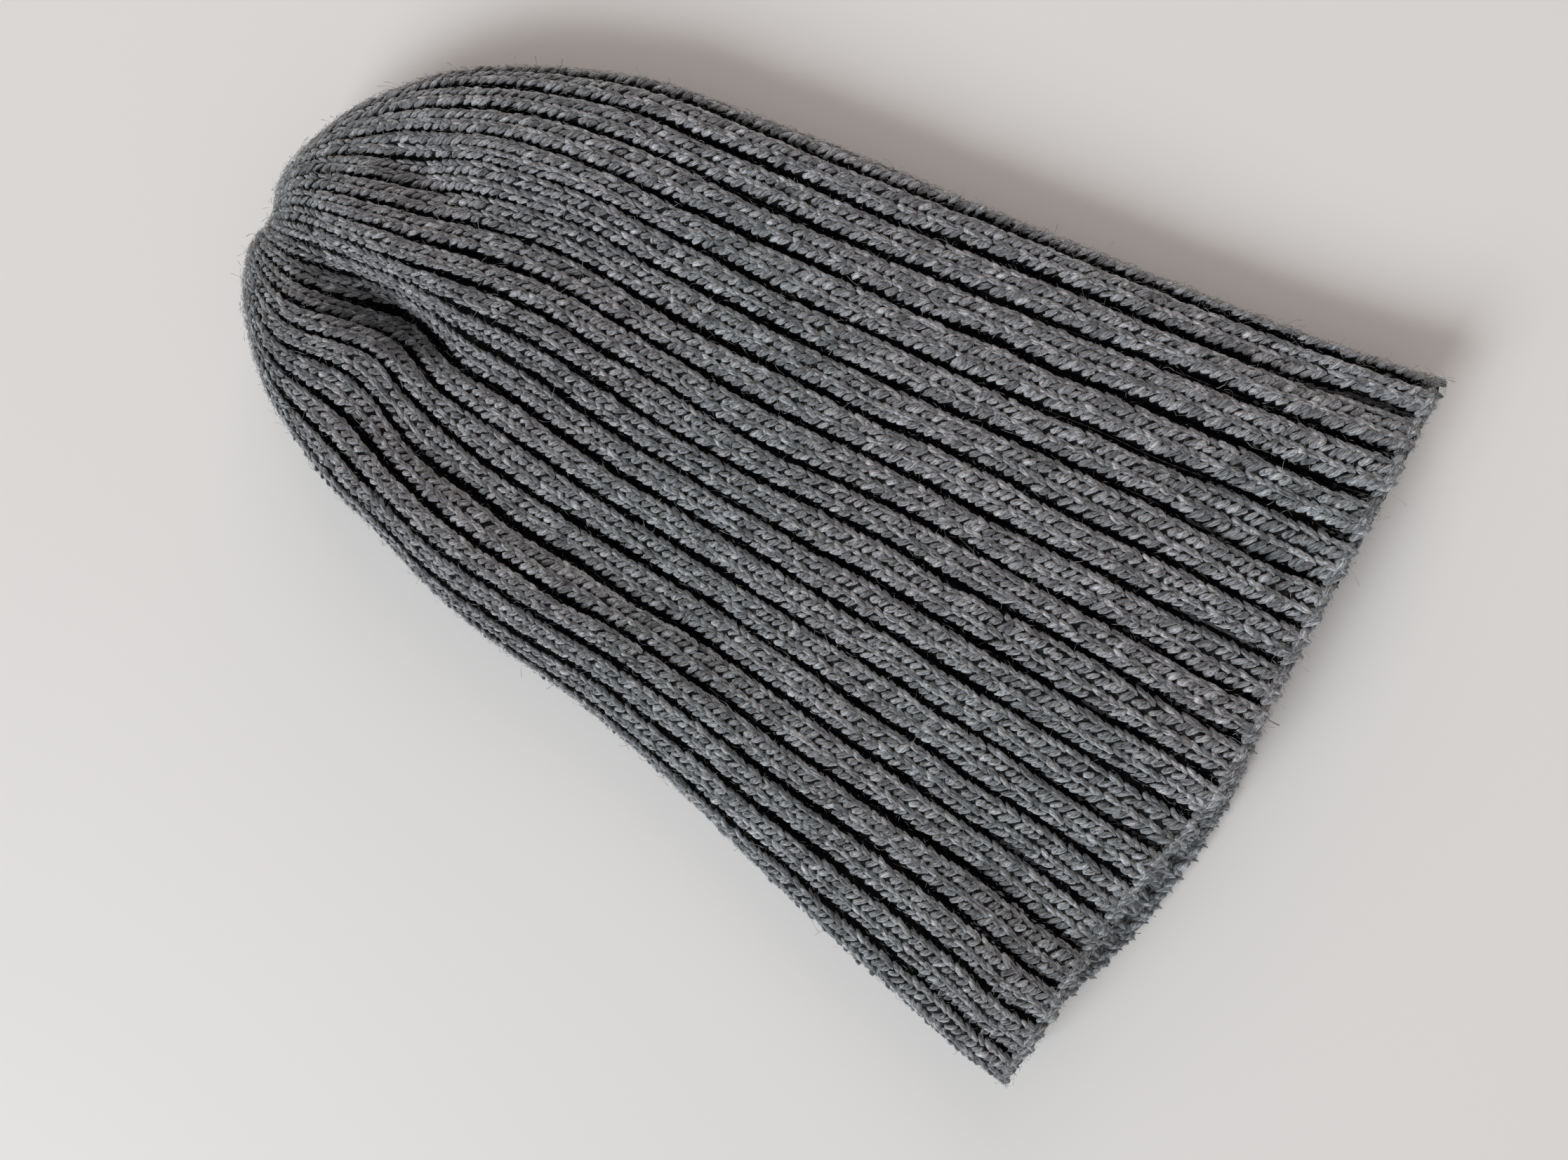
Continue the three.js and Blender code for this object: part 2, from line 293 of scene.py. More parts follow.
# The rise of a rib across its width, and its grooves at the hem: their share of the depth, and the rows
# to the full one.
RIB_FULL = 3.8
RIB_ROUND = 0.5
HEM_FLAT = 0.55
HEM_ROWS = 2.0
# How far the hem draws back at each groove, and over how many rows.
SCALLOP = 1.5
SCALLOP_ROWS = 4.0
# Where along the hat the ribs flatten towards the gather, and by how much.
FLATTEN_FROM, FLATTEN_TO, FLATTEN_BY = 250, 279, 0.55
# The heights between which the under layer passes into the upper one.
UPPER_FROM, UPPER_TO = 6, 14
# The rib widths between which grooves fade in.
GROOVE_NONE, GROOVE_WHOLE = 0.8, 4.0
# Where the upper layer's grooves are stretched shallow or, below 0, pressed deep: the middle, half the
# length, the reach to the left and the right, the share of the depth and the lean in degrees.
SHALLOWS = (
    # x, y, long, left, right, share, lean
    (38, 216, 38, 13, 13, 0.8, 4),
    (10, 247, 14, 7, 8, 0.55, 0),
    (12, 190, 20, 10, 10, 0.2, 0),
    (-6, 230, 44, 8, 8, -0.3, 0),
    (14, 268, 26, 60, 60, 0.34, 0),
    (-46, 200, 60, 16, 16, -0.25, -8),
    (-66, 60, 60, 22, 22, -0.25, -4),
    (72, 50, 60, 18, 18, -0.25, 4),
)
GROOVE_LEAST, GROOVE_MOST = 0.2, 1.35
# How wide the lanes lie on a rib, how far they close up where it is shallow and draw in where it is deep.
SPREAD, CLOSE_UP, DRAW_IN = 0.975, 0.18, 0.35
# Rows between the random numbers of a drift, and how far the depth and the lanes' width stray.
WOBBLE_ROWS = 7
DEPTH_STRAY = 0.22
SPREAD_STRAY = 0.07


def bell(share):
    """The rise of a rib across its width, 0 in the grooves and 1 on the crest."""
    return (1 - np.abs(2 * share - 1) ** RIB_FULL) ** RIB_ROUND


def drift(random, rows, columns, sizes):
    """A smooth field that strays from 0: one random number every few rows, for each groove."""
    knots = random.normal(0, 1, (rows // WOBBLE_ROWS + 4, RIBS))
    along = np.linspace(0, rows / WOBBLE_ROWS, sizes)
    step = np.floor(along).astype(int)
    part = smoothstep(along - step, 0, 1)[:, None]
    grooves = knots[step] * (1 - part) + knots[step + 1] * part
    groove = np.floor(columns).astype(int)
    share = columns - groove
    return grooves[:, groove % RIBS] * (1 - share) + grooves[:, (groove + 1) % RIBS] * share


class Sheet:
    """One face of the fabric as fine grids of places, directions off the face, rib widths and depths."""

    def __init__(self, sizes, inset, phase, groove):
        self.groove = groove
        self.at, self.rows = row_stations(sizes.row_height / MM)
        self.smooth = smooth_grid(self.at, PER_RIB, inset)
        columns = np.arange(self.smooth.shape[1]) / PER_RIB
        random = np.random.default_rng(sizes.seed)
        drifts = [drift(random, self.rows, columns, len(self.at)) for _ in range(3)]
        stray = drifts[0] * sizes.wobble
        deeper = 1 + drifts[1] * DEPTH_STRAY * sizes.unevenness
        spread = drifts[2] * SPREAD_STRAY * sizes.unevenness
        row = np.arange(len(self.at))[:, None] / SUB_ROWS
        self.smooth = self.read(self.smooth, columns[None, :] + stray, row + 0 * stray)
        around = np.roll(self.smooth, -1, axis=1) - np.roll(self.smooth, 1, axis=1)
        along = np.gradient(self.smooth, axis=0)
        self.normal = unit(np.cross(along, around))
        heart = self.smooth.mean(axis=1, keepdims=True)
        if ((self.smooth - heart) * self.normal).sum() < 0:
            self.normal = -self.normal
        if inset:
            self.normal = -self.normal
        self.pitch = np.linalg.norm(around, axis=2) / 2 * PER_RIB
        hem = HEM_FLAT + (1 - HEM_FLAT) * smoothstep(row, 0, HEM_ROWS)
        width = self.pitch.mean(axis=1, keepdims=True)
        x, y, z = np.moveaxis(self.smooth, 2, 0)
        share = 1 - FLATTEN_BY * smoothstep(y, FLATTEN_FROM, FLATTEN_TO)
        share = share - spots(SHALLOWS, x, y) * smoothstep(z, UPPER_FROM, UPPER_TO)
        share = np.clip(share, GROOVE_LEAST, GROOVE_MOST)
        self.spread = SPREAD + spread + CLOSE_UP * np.maximum(1 - share, 0)
        self.spread -= DRAW_IN * np.maximum(share - 1, 0)
        hollow = 1 - bell(np.mod(columns + phase, 1))
        self.sunk = groove * hem * share * smoothstep(width, GROOVE_NONE, GROOVE_WHOLE) * deeper * hollow
        self.surface = self.smooth - self.normal * self.sunk[..., None]
        self.surface[..., 1] += SCALLOP * hollow * np.maximum(1 - row / SCALLOP_ROWS, 0) ** 2

    def read(self, grid, around, row):
        """The value of a grid at places counted in ribs round the hat and knit rows along it."""
        across = np.mod(np.asarray(around, float), RIBS) * PER_RIB
        along = np.clip(np.asarray(row, float) * SUB_ROWS, 0, len(self.at) - 1.001)
        i, j = np.floor(along).astype(int), np.floor(across).astype(int)
        u, v = along - i, across - j
        if grid.ndim == 3:
            u, v = u[..., None], v[..., None]
        k = (j + 1) % grid.shape[1]
        j = j % grid.shape[1]
        near = grid[i, j] * (1 - v) + grid[i, k] * v
        far = grid[i + 1, j] * (1 - v) + grid[i + 1, k] * v
        return near * (1 - u) + far * u

    def place(self, around, row):
        return self.read(self.surface, around, row)

    def facing(self, around, row):
        """The direction off the ribbed face."""
        across = self.place(np.add(around, 0.05), row) - self.place(np.subtract(around, 0.05), row)
        along = self.place(around, np.add(row, 0.5)) - self.place(around, np.subtract(row, 0.5))
        normal = unit(np.cross(along, across))
        flip = (normal * self.read(self.normal, around, row)).sum(axis=-1, keepdims=True) < 0
        return np.where(flip, -normal, normal)


# The coarser grid that the hat's box is measured on.
BOX_STATIONS, BOX_PER_RIB = 400, 8


@functools.cache
def outside():
    """The outer face, worked out once."""
    sizes = bpy.context.scene.beanie_knit
    return Sheet(sizes, 0, 0, sizes.groove_depth / MM)


@functools.cache
def inside():
    """The inner face, whose ribs lie behind the outer grooves."""
    sizes = bpy.context.scene.beanie_knit
    return Sheet(sizes, WALL + INSIDE_PROUD, INSIDE_PHASE, sizes.inside_groove / MM)


@functools.cache
def shift():
    """From the hat's own axes to the frame: the crests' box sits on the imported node's box."""
    low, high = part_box(NODE)
    grid = smooth_grid(np.linspace(0, LAST_SECTION, BOX_STATIONS), BOX_PER_RIB, 0)
    grid[0, :, 1] += HEM_ROUND
    middle = (grid.min(axis=(0, 1)) + grid.max(axis=(0, 1))) / 2 * MM
    return np.array([(low.x + high.x) / 2 - middle[0], (low.y + high.y) / 2 - middle[1], low.z])


def to_frame(points):
    """Places in the hat's own millimetres, as places in the frame in metres."""
    return np.asarray(points, float) * MM + shift()


# Meshes


def new_piece(name, vertices, faces, material):
    """A piece of plain mesh, in the frame, with smooth faces."""
    mesh = bpy.data.meshes.new(name)
    mesh.from_pydata(vertices.reshape(-1, 3).tolist(), [], faces)
    mesh.shade_smooth()
    mesh.materials.append(material)
    piece = bpy.data.objects.new(name, mesh)
    bpy.context.scene.collection.objects.link(piece)
    return piece


def store(mesh, name, values):
    """Stores one number or one vector on each point of a mesh."""
    kind, field = ("FLOAT_VECTOR", "vector") if np.ndim(values) == 2 else ("FLOAT", "value")
    layer = mesh.attributes.new(name, kind, "POINT")
    layer.data.foreach_set(field, np.asarray(values, float).ravel())


def finish_piece(piece):
    places = np.zeros(len(piece.data.vertices) * 3)
    piece.data.vertices.foreach_get("co", places)
    places[2::3] = np.maximum(places[2::3], shift()[2])
    piece.data.vertices.foreach_set("co", places)
    piece.data.update()
    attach(piece, BODY)


# Node trees


class Field:
    """One output in a node tree. Sums on fields add Math nodes."""

    def __init__(self, wires, socket):
        self.wires, self.socket = wires, socket

    def __add__(self, other):
        return self.wires.maths("ADD", self, other)

    def __sub__(self, other):
        return self.wires.maths("SUBTRACT", self, other)

    def __mul__(self, other):
        return self.wires.maths("MULTIPLY", self, other)

    def sine(self):
        return self.wires.maths("SINE", self)

    def within(self, low, high, new_low=0.0, new_high=1.0):
        """The field's part between low and high, spread over a new range and held inside it."""
        settings = {"interpolation_type": "SMOOTHSTEP"}
        values = {0: self, 1: low, 2: high, 3: new_low, 4: new_high}
        return self.wires.node("ShaderNodeMapRange", settings, values)


class Wires:
    """Adds nodes to a tree and links them."""

    def __init__(self, tree):
        self.tree = tree

    def feed(self, socket, value):
        if isinstance(value, Field):
            self.tree.links.new(value.socket, socket)
        else:
            socket.default_value = value

    def node(self, kind, settings=None, values=None, output=0):
        """A node of any type: its settings first, then the values or links of its sockets."""
        made = self.tree.nodes.new(kind)
        for name, value in (settings or {}).items():
            setattr(made, name, value)
        for name, value in (values or {}).items():
            self.feed(made.inputs[name], value)
        return Field(self, made.outputs[output])

    def maths(self, operation, *values):
        return self.node("ShaderNodeMath", {"operation": operation}, dict(enumerate(values)))

    def vector(self, x, y, z=0.0):
        return self.node("ShaderNodeCombineXYZ", None, {0: x, 1: y, 2: z})

    def parts(self, place):
        made = self.node("ShaderNodeSeparateXYZ", None, {0: place}).socket.node
        return [Field(self, output) for output in made.outputs]


class Shader(Wires):
    """Builds one material."""

    def __init__(self, name):
        self.material = bpy.data.materials.new(name)
        self.material.use_nodes = True
        super().__init__(self.material.node_tree)
        self.principled = self.tree.nodes["Principled BSDF"]

    def attribute(self, name, output="Fac"):
        return self.node("ShaderNodeAttribute", {"attribute_name": name}, output=output)

    def noise(self, place, scale, detail=2.0, rough=0.5):
        values = {"Vector": place, "Scale": scale, "Detail": detail, "Roughness": rough}
        return self.node("ShaderNodeTexNoise", None, values)

    def place(self):
        return self.node("ShaderNodeTexCoord", output="Object")

    def blend(self, share, first, second, kind="MIX"):
        """A mix of two colours, each a field or three numbers."""
        settings = {"data_type": "RGBA", "blend_type": kind}
        first, second = (c if isinstance(c, Field) else (*c, 1.0) for c in (first, second))
        return self.node("ShaderNodeMix", settings, {0: share, 6: first, 7: second}, output=2)

    def dim(self, colour, share):
        """A colour times a share."""
        return self.blend(1.0, colour, self.vector(share, share, share), "MULTIPLY")

    def bump(self, strength, distance, height):
        values = {"Strength": strength, "Distance": distance, "Height": height}
        return self.node("ShaderNodeBump", None, values)

    def finish(self, values):
        for name, value in values.items():
            self.feed(self.principled.inputs[name], value)
        return self.material


# How much of a turn the yarn's twist makes along a strand, and the plies that it is spun from.
TWIST, PLIES = 0.3, 3.0


@functools.cache
def yarn_material():
    """Heathered wool yarn: streaks of light and dark fibre that run along each strand."""
    colours = bpy.context.scene.beanie_colours
    shader = Shader("heathered_wool_yarn")
    along, around, _ = shader.parts(shader.attribute("strand", "Vector"))
    tone = shader.attribute("tone")
    depth = shader.attribute("depth")
    place = shader.place()

    twisted = around + along * TWIST

    def streaks(fine, short, apart, detail, rough):
        """Streaks so fine round a strand and so short along it, with each strand its own."""
        return shader.noise(shader.vector(twisted * fine, along * short, tone * apart), 1.0, detail, rough)

    fibres = streaks(8.0, 1.5, 37.0, 3.0, 0.7)
    hairs = streaks(22.0, 3.0, 91.0, 2.0, 0.5)
    plies = ((twisted * PLIES + tone) * (2 * math.pi)).sine() * 0.5 + 0.5
    heather = shader.noise(place, 420.0, detail=3.0, rough=0.7)
    patches = shader.noise(place, 14.0, detail=1.0)

    light = fibres.within(0.3, 0.7) * 0.6 + hairs.within(0.35, 0.7) * 0.4
    wool = shader.blend(light, colours.wool_dark, colours.wool_light)
    cast = shader.blend(patches.within(0.4, 0.6), colours.wool_cool, colours.wool_warm)
    wool = shader.blend(1.0, wool, cast, "MULTIPLY")
    # Painted shade: darker at a strand's sides, at its end tucked under the next strand, in the lines
    # between the plies and down in a groove; darker too in random specks between fibres.
    sides = (around * around).within(0.014, 0.066, 1.0, 0.3)
    tucked = along.within(0.0, 0.25, 0.34, 1.0)
    specks = streaks(15.0, 3.6, 53.0, 2.0, 0.6).within(0.37, 0.53, 0.3, 1.0)
    shade = plies.within(0.0, 0.35, 0.8, 1.0) * heather.within(0.3, 0.7, 0.68, 1.25)
    shade = shade * sides * tucked * specks
    shade = shade * tone.within(0.0, 1.0, 0.6, 1.28) * depth.within(0.03, 0.6, 1.0, 0.22)

    relief = fibres * 0.7 + plies * 0.25 + hairs * 0.35
    values = {"Base Color": shader.dim(wool, shade), "Roughness": 0.92, "Specular IOR Level": 0.15}
    values |= {"Sheen Weight": 0.7, "Sheen Roughness": 0.5, "Sheen Tint": (0.93, 0.96, 1.0, 1.0)}
    return shader.finish(values | {"Normal": shader.bump(0.85, 0.0003, relief)})


@functools.cache
def ground_material():
    """The knit behind the strands, painted near black between them for the shade there, and the plain knit
    inside, with painted shade between its loops and down its grooves.
    """
    colours = bpy.context.scene.beanie_colours
    shader = Shader("wool_between_strands")
    place = shader.place()
    depth = shader.attribute("depth")
    around, row, side = shader.parts(shader.attribute("strand", "Vector"))
    lift = ((row * (2 * math.pi)).sine() * 0.5 + 0.5) * ((around * (8 * math.pi)).sine() * 0.25 + 0.75)
    loops = lift.within(0.0, 0.8, 0.55, 1.0)
    fleck = shader.noise(place, 900.0, detail=3.0, rough=0.7)
    wool = shader.blend(fleck.within(0.3, 0.75), colours.wool_dark, colours.wool_light)
    # Painted shade: near black on the outer face, darkest in a groove; on the inner face darker between the
    # loops and down in a groove.
    between = depth.within(0.0, 0.2, 0.05, 0.01)
    shade = between + side * (loops * depth.within(0.0, 1.0, 0.8, 0.35) - between)
    bump = shader.bump(0.8, 0.0006, lift + fleck * 0.4)
    values = {"Base Color": shader.dim(wool, shade), "Roughness": 0.95, "Specular IOR Level": 0.1}
    return shader.finish(values | {"Normal": bump})


@functools.cache
def hair_material():
    """Loose fibres."""
    colours = bpy.context.scene.beanie_colours
    shader = Shader("loose_wool_fibre")
    wool = shader.blend(shader.attribute("tone"), colours.hair_dark, colours.hair_light)
    values = {"Base Color": wool, "Roughness": 0.7, "Specular IOR Level": 0.3, "Sheen Weight": 0.3}
    return shader.finish(values)


# Geometry nodes

# The size of a lump in the yarn, in metres.
LUMP_WIDTH = 0.0009
POINT_VECTORS = ("strand_axis", "strand_up", "strand_size")


class Tree(Wires):
    """Builds one Geometry Nodes tree with named inputs, given with the kind of each."""

    def __init__(self, name, **inputs):
        super().__init__(bpy.data.node_groups.new(name, "GeometryNodeTree"))
        face = self.tree.interface
        face.new_socket(name="Geometry", in_out="INPUT", socket_type="NodeSocketGeometry")
        self.sockets = {}
        for label, kind in inputs.items():
            kind = "NodeSocket" + kind
            self.sockets[label] = face.new_socket(name=label, in_out="INPUT", socket_type=kind)
        face.new_socket(name="Geometry", in_out="OUTPUT", socket_type="NodeSocketGeometry")
        self.entry = self.tree.nodes.new("NodeGroupInput")
        self.exit = self.tree.nodes.new("NodeGroupOutput")

    def given(self, label):
        return Field(self, self.entry.outputs[label])

    def keep(self, geometry, name, kind, domain, value):
        """Stores a named attribute."""
        settings = {"data_type": kind, "domain": domain}
        values = {"Geometry": geometry, "Name": name, "Value": value}
        return self.node("GeometryNodeStoreNamedAttribute", settings, values)

    def stored(self, name):
        """The vector that each point carries under a name."""
        return self.node("GeometryNodeInputNamedAttribute", {"data_type": "FLOAT_VECTOR"}, {"Name": name})

    def move(self, geometry, **values):
        return self.node("GeometryNodeSetPosition", None, {"Geometry": geometry, **values})

    def scatter(self, shape):
        """Sets the shape on every point, turned and sized as the point says, each with its own tone."""
        axis, up, size = (self.stored(name) for name in POINT_VECTORS)
        settings = {"primary_axis": "Z", "secondary_axis": "X"}
        turn = self.node("FunctionNodeAxesToRotation", settings, {0: axis, 1: up})
        values = {"Points": self.given("Geometry"), "Instance": shape, "Rotation": turn, "Scale": size}
        placed = self.node("GeometryNodeInstanceOnPoints", None, values)
        tone = self.node("FunctionNodeRandomValue", {"data_type": "FLOAT"}, {"Seed": self.given("Seed")}, 1)
        return self.keep(placed, "tone", "FLOAT", "INSTANCE", tone)

    def lumps(self, geometry, size):
        """Moves each vertex a little, by a noise that is finer than a strand is wide."""
        place = self.node("GeometryNodeInputPosition")
        values = {"Vector": place, "Scale": 1 / LUMP_WIDTH, "Detail": 0.0}
        noise = self.node("ShaderNodeTexNoise", {"noise_dimensions": "3D"}, values, "Color")
        values = {0: noise, 1: (0.5, 0.5, 0.5)}
        stray = self.node("ShaderNodeVectorMath", {"operation": "SUBTRACT"}, values)
        push = self.node("ShaderNodeVectorMath", {"operation": "SCALE"}, {0: stray, "Scale": size})
        return self.move(geometry, Offset=push)

    def close(self, geometry, lumps=None):
        """Realizes the instances, smooths the faces, sets the material and ends the tree."""
        real = self.node("GeometryNodeRealizeInstances", None, {"Geometry": geometry})
        if lumps is not None:
            real = self.lumps(real, lumps)
        smooth = self.node("GeometryNodeSetShadeSmooth", None, {"Geometry": real})
        values = {"Geometry": smooth, "Material": self.given("Material")}
        self.feed(self.exit.inputs[0], self.node("GeometryNodeSetMaterial", None, values))

    def run(self, name, source, values, dropped=POINT_VECTORS):
        """Runs the tree on a mesh and gives the result as a finished piece, without the dropped values."""
        maker = bpy.data.objects.new(name, source)
        bpy.context.scene.collection.objects.link(maker)
        modifier = maker.modifiers.new("knit", "NODES")
        modifier.node_group = self.tree
        for label, value in values.items():
            modifier[self.sockets[label].identifier] = value
        graph = bpy.context.evaluated_depsgraph_get()
        mesh = bpy.data.meshes.new_from_object(maker.evaluated_get(graph))
        maker.modifiers.clear()
        maker.data = mesh
        mesh.name = name
        bpy.data.meshes.remove(source)
        for label in dropped:
            if label in mesh.attributes:
                mesh.attributes.remove(mesh.attributes[label])
        if not len(mesh.polygons):
            raise RuntimeError(f"{name} came out empty")
        finish_piece(maker)


# How a strand keeps its girth towards its ends, and the most that it is widened by.
FULLNESS, FULLEST = -0.28, 1.5
# The middle and the end of a loose fibre, which starts at 0 and is one long.
HAIR_MIDDLE, HAIR_END = (1.6, -0.5, 0.5), (0.3, 0.9, 1)


@functools.cache
def strand_tree():
    """One strand of yarn, a bent and tapered grain, on each point of a mesh."""
    inputs = {"Sides": "Int", "Rings": "Int", "Bend": "Float", "Taper": "Float", "Lumps": "Float"}
    tree = Tree("yarn_strands", **inputs, Seed="Int", Material="Material")
    values = {"Segments": tree.given("Sides"), "Rings": tree.given("Rings"), "Radius": 1.0}
    ball = tree.node("GeometryNodeMeshUVSphere", None, values)
    x, y, z = tree.parts(tree.node("GeometryNodeInputPosition"))
    around = tree.maths("DIVIDE", tree.maths("ARCTAN2", y, x), 2 * math.pi)
    strand = tree.vector(z * 0.5 + 0.5, around)
    grain = tree.keep(ball, "strand", "FLOAT_VECTOR", "POINT", strand)

    thin = z * tree.given("Taper") + 1.0
    fuller = tree.maths("POWER", tree.maths("SUBTRACT", 1.0, z * z), FULLNESS)
    girth = thin * tree.maths("MINIMUM", fuller, FULLEST)
    dive = z * z * tree.given("Bend")
    grain = tree.move(grain, Position=tree.vector(x * girth - dive, y * girth, z))

    tree.close(tree.scatter(grain), tree.given("Lumps"))
    return tree


@functools.cache
def hair_tree():
    """One loose fibre, a bent thin tube, on each point of a mesh."""
    tree = Tree("loose_fibres", Sides="Int", Steps="Int", Radius="Float", Seed="Int", Material="Material")
    values = {"Resolution": tree.given("Steps"), "Start": (0, 0, 0), "Middle": HAIR_MIDDLE, "End": HAIR_END}
    arc = tree.node("GeometryNodeCurveQuadraticBezier", None, values)
    values = {"Resolution": tree.given("Sides"), "Radius": tree.given("Radius")}
    ring = tree.node("GeometryNodeCurvePrimitiveCircle", None, values)
    tube = tree.node("GeometryNodeCurveToMesh", None, {0: arc, "Profile Curve": ring, "Fill Caps": True})
    tree.close(tree.scatter(tube))
    return tree


def strand_points(centre, axis, up, size, depth):
    """A mesh of bare points that carry what one strand each needs, in the frame."""
    mesh = bpy.data.meshes.new("strand_points")
    mesh.vertices.add(len(centre))
    mesh.vertices.foreach_set("co", to_frame(centre).ravel())
    for name, values in zip(POINT_VECTORS, (unit(axis), up, size * MM)):
        store(mesh, name, values)
    store(mesh, "depth", np.clip(depth, 0, 1))
    return mesh


def strands_piece(name, points, sides, rings, bend, taper, lumps, seed, material=None):
    """A piece of strands, one on each point."""
    values = {"Sides": sides, "Rings": rings, "Bend": bend, "Taper": taper, "Lumps": lumps, "Seed": seed}
    values["Material"] = material or yarn_material()
    strand_tree().run(name, points, values)


# Stitches

# Lanes of half stitches across a rib: where each lies and its reach across, in shares of the rib, which
# way it leans, its reach along in rows, and its width in shares of the yarn's own.
TWO_COLUMNS = (
    # place, lean, across, along, width
    (0.145, 1, 0.110, 1.50, 0.96),
    (0.375, -1, 0.225, 1.10, 1.06),
    (0.620, 1, 0.115, 1.55, 1.04),
    (0.850, -1, 0.215, 1.10, 1.06),
)
ONE_COLUMN = (
    (0.30, 1, 0.25, 1.4, 1.0),
    (0.74, -1, 0.34, 1.15, 1.05),
)
WIDE_COLUMN = (
    (0.60, 1, 0.50, 1.4, 1.0),
    (1.48, -1, 0.68, 1.15, 1.05),
)
# The smallest rib width in millimetres that each set of lanes is used for, and the ribs that it spans.
LANE_SETS = ((5.0, 1, TWO_COLUMNS), (2.7, 1, ONE_COLUMN), (0.0, 2, WIDE_COLUMN))
FIRST_ROW = 0.95
# How far half stitches stray: sideways in ribs, along in rows and off the face in millimetres, then their
# reach across, their length and their girth in shares of each.
ASIDE, ALONG, OFF, REACH, LENGTH, GIRTH = 0.018, 0.09, 0.1, 0.2, 0.1, 0.1
# The rib width that suits the yarn's own girth, by the ribs that a lane spans, and the girth's limits.
EASY_PITCH = {1: 8.5, 2: 2.5}
LEAST_GIRTH, MOST_GIRTH = 0.76, 1.08
# A strand's half length in shares of the way between its ends, its bend and its taper.
HALF_STITCH, STITCH_BEND, STITCH_TAPER = 0.6, 0.5, -0.1
# Stretches of the outer face: the piece's name, its first and last rib, and a strand's sides and rings.
STRETCHES = (
    ("stitches_right", -1, 6, 6, 4),
    ("stitches_middle", 6, 13, 6, 4),
    ("stitches_left", 13, 20, 6, 4),
    ("stitches_under_left", 20, 30, 4, 3),
    ("stitches_under_right", 30, 39, 4, 3),
)
# How far short of the last row the stitches end.
LAST_GAP = 0.4
# What each kind of piece adds to the seed. The stretches add their number.
INSIDE_SEED, EDGE_SEED, HAIR_SEED, FUZZ_SEED = 6, 20, 30, 40

# Cords round the opening: how far each lies over the rim from the outer face, and how far its loops lean.
EDGE_CORDS = ((0.0, 0.5), (0.5, -0.6), (1.0, 0.5))
LOOPS_PER_RIB = 5
# A loop's reach and stray in shares of its own stretch of the cord, and the row it lies at, with its stray.
LOOP_REACH, LOOP_STRAY, LOOP_ROW, LOOP_ROW_STRAY = 1.7, 0.08, 0.25, 0.05
# A cord's girth with its stray, how deep it lies and how far back from the hem, in shares of the yarn.
CORD_GIRTH, CORD_GIRTH_STRAY, CORD_SUNK, CORD_BACK = 1.15, 0.14, 0.42, 0.15
# The rows that the way to the hem is read over, and how strongly the rim's own cord faces that way.
HEMWARD_ROWS, RIM_FACING = 1.5, 1.5
# How far a loop's end is lifted, and its half length in shares of the way between its ends.
LOOP_LIFT, HALF_LOOP = 0.1, 0.5


class Strands:
    """Strands of yarn gathered for one piece."""

    def __init__(self, sheet, sizes, seed):
        self.sheet, self.sizes = sheet, sizes
        self.random = np.random.default_rng(seed)
        self.found = []

    def stray(self, middle, spread, count):
        return self.random.normal(middle, spread * self.sizes.unevenness, count)

    def lane(self, ribs, rows, lane, spans, phase):
        """Half stitches of one lane on every rib and row given."""
        share, lean, across, along, width = lane
        sheet, yarn, count = self.sheet, self.sizes.yarn_width / MM, len(ribs)
        middle = ribs + phase + spans / 2
        around = middle + (share - spans / 2) * sheet.read(sheet.spread, middle, rows)
        around = around + self.stray(0, ASIDE, count)
        row = rows + self.stray(0, ALONG, count)
        reach = across * self.stray(1, REACH, count) / 2
        length = along * self.stray(1, LENGTH, count) / 2
        hem_end = sheet.place(around + lean * reach, row - length)
        crown_end = sheet.place(around - lean * reach, row + length)
        pitch = sheet.read(sheet.pitch, around, row)
        girth = yarn * width * np.clip(pitch / EASY_PITCH[spans], LEAST_GIRTH, MOST_GIRTH)
        girth = girth * self.stray(1, GIRTH, count)
        off = sheet.facing(around, row)
        centre = sheet.place(around, row) + off * (self.stray(0, OFF, count) - yarn / 2)[:, None]
        depth = sheet.read(sheet.sunk, around, row) / sheet.groove
        self.add(centre, hem_end - crown_end, off, girth, HALF_STITCH, depth, self.sizes.shingle)

    def add(self, centre, axis, off, girth, part, depth, lift):
        """Strands along an axis each, facing off the fabric, with one end lifted."""
        long = np.linalg.norm(axis, axis=1)
        axis = unit(unit(axis) + off * lift)
        up = unit(off - axis * (off * axis).sum(axis=1, keepdims=True))
        size = np.stack([girth / 2, girth / 2, long * part], axis=1)
        self.found.append((centre, axis, up, size, depth))

    def points(self):
        return strand_points(*(np.concatenate(parts) for parts in zip(*self.found)))


def stitch_cells(sheet, first_rib, last_rib, last_row):
    """Rib and row of every whole stitch in a stretch of ribs, with the set of lanes it uses."""
    rows = np.arange(FIRST_ROW, last_row)
    for number, (lowest, spans, lanes) in enumerate(LANE_SETS):
        highest = LANE_SETS[number - 1][0] if number else math.inf
        ribs, found_rows = [], []
        for rib in range(first_rib, last_rib, spans):
            width = sheet.read(sheet.pitch, rib + 0.5 * spans, rows)
            chosen = rows[(width >= lowest) & (width < highest)]
            ribs.append(np.full(len(chosen), float(rib)))
            found_rows.append(chosen)
        yield np.concatenate(ribs), np.concatenate(found_rows), lanes, spans


def knit_stretch(name, sheet, first_rib, last_rib, last_row, sides, rings, seed, phase=0.0):
    """The half stitches on a stretch of ribs, as one piece."""
    sizes = bpy.context.scene.beanie_knit
    strands = Strands(sheet, sizes, sizes.seed + seed)
    for ribs, rows, lanes, spans in stitch_cells(sheet, first_rib, last_rib, last_row):
        for lane in lanes:
            if len(ribs):
                strands.lane(ribs, rows, lane, spans, phase)
    form = (sides, rings, STITCH_BEND, STITCH_TAPER, sizes.lumps, sizes.seed + seed)
    strands_piece(name, strands.points(), *form)


